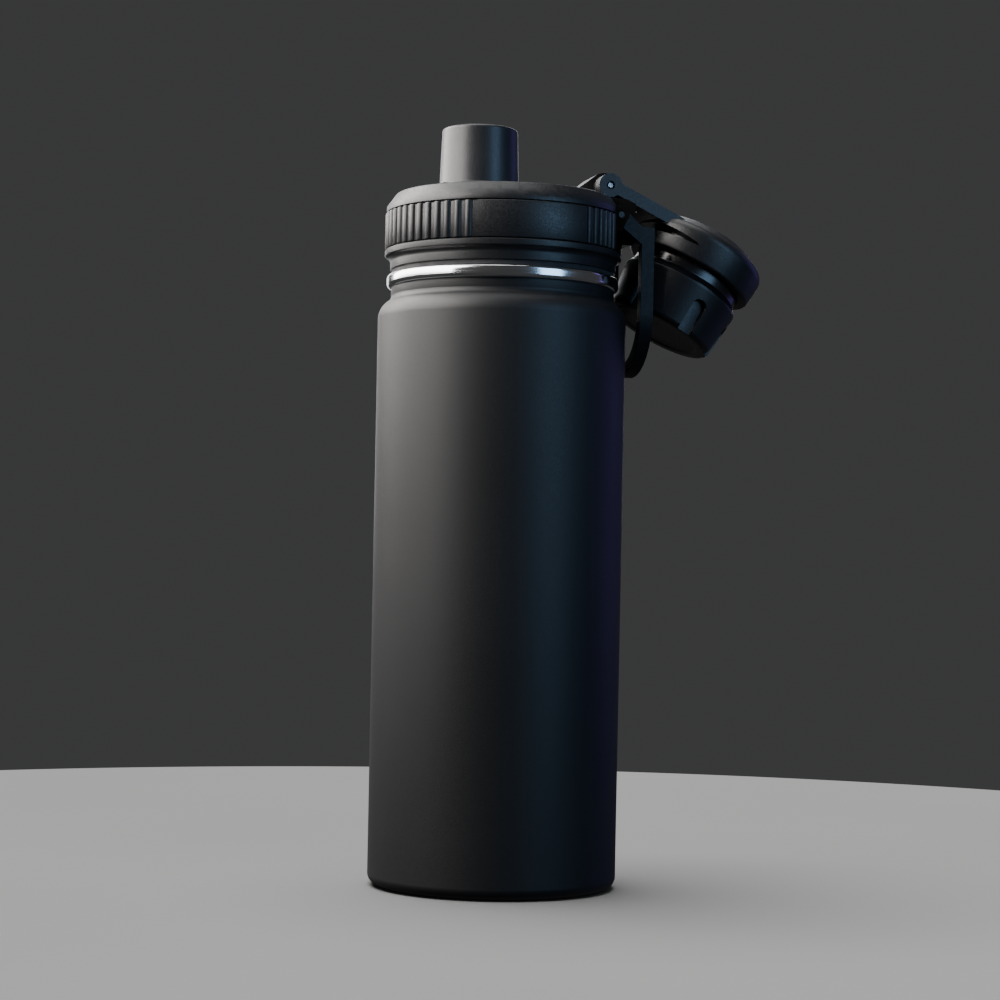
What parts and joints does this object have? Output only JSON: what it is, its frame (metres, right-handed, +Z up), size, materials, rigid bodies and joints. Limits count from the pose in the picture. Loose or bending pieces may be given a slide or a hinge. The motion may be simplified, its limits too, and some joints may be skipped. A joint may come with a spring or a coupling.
{
  "type": "vacuum flask",
  "caption": "Double-walled drinking flask with a screw lid, a drinking spout, a flip cap with a twist knob, and a carry loop, shown with the cap open.",
  "frame": {"origin": "centre of the base pad's underside, on the table", "axes": "+Z up along the bottle's axis, +X towards the cap's hinge and the carry loop, +Y completes a right-handed frame"},
  "size_m": [0.1157, 0.073, 0.2221],
  "materials": {
    "powder_coat": "fine matt powder coat",
    "bare_steel": "polished lip, brushed inside",
    "solder_glass": "dull sealing bead",
    "getter_grey": "sintered pellet",
    "copper_foil": "thin reflective wrap",
    "black_rubber": "soft matt",
    "matt_black_plastic": "fine grained matt",
    "gloss_black_plastic": "high gloss",
    "cream_foam": "closed-cell foam",
    "bright_pin": "polished pin",
    "dark_pin": "blackened pin"
  },
  "bodies": {
    "bottle": {"outer_shell": "powder_coat", "inner_vessel": "bare_steel", "base_plate": "bare_steel", "seal_bead": "solder_glass", "getter": "getter_grey", "foil_wrap": "copper_foil", "base_cover": "bare_steel", "base_pad": "black_rubber"},
    "lid_seal": {"lid_gasket": "black_rubber"},
    "lid": {"lid_shell": "matt_black_plastic", "grip_ring": "matt_black_plastic", "lid_core": "matt_black_plastic", "lid_insulation": "cream_foam", "plug_cover": "matt_black_plastic", "spout": "matt_black_plastic", "spout_seal": "black_rubber", "hinge_bracket": "matt_black_plastic", "hinge_pin": "bright_pin", "loop_pins": "dark_pin"},
    "cap": {"cap_arm": "matt_black_plastic"},
    "knob": {"cap_collar": "gloss_black_plastic", "cap_seal": "black_rubber", "cap_knob": "matt_black_plastic"},
    "loop": {"carry_loop": "matt_black_plastic"}
  },
  "joints": [
    {"name": "lid_lift", "type": "slide", "parent": "bottle", "child": "lid_seal", "axis": [0, 0, 1], "range_m": [0, 0.005]},
    {"name": "lid_turn", "type": "hinge", "parent": "lid_seal", "child": "lid", "pos_m": [0, 0, 0.19], "axis": [0, 0, 1], "range_deg": [0, 450]},
    {"name": "cap_flip", "type": "hinge", "parent": "lid", "child": "cap", "pos_m": [0.0289, 0, 0.2064], "axis": [0, -1, 0], "range_deg": [0, 208.5]},
    {"name": "knob_twist", "type": "hinge", "parent": "cap", "child": "knob", "pos_m": [0.06106, 0, 0.18894], "axis": [0.4772, 0, 0.8788], "range_deg": [0, 90]},
    {"name": "loop_swing", "type": "hinge", "parent": "lid", "child": "loop", "pos_m": [0.0302, 0, 0.1969], "axis": [0, -1, 0], "range_deg": [0, 2]}
  ],
  "couplings": [
    {"joint": "lid_lift", "follows": "lid_turn", "m_per_rad": 0.00063662}
  ]
}
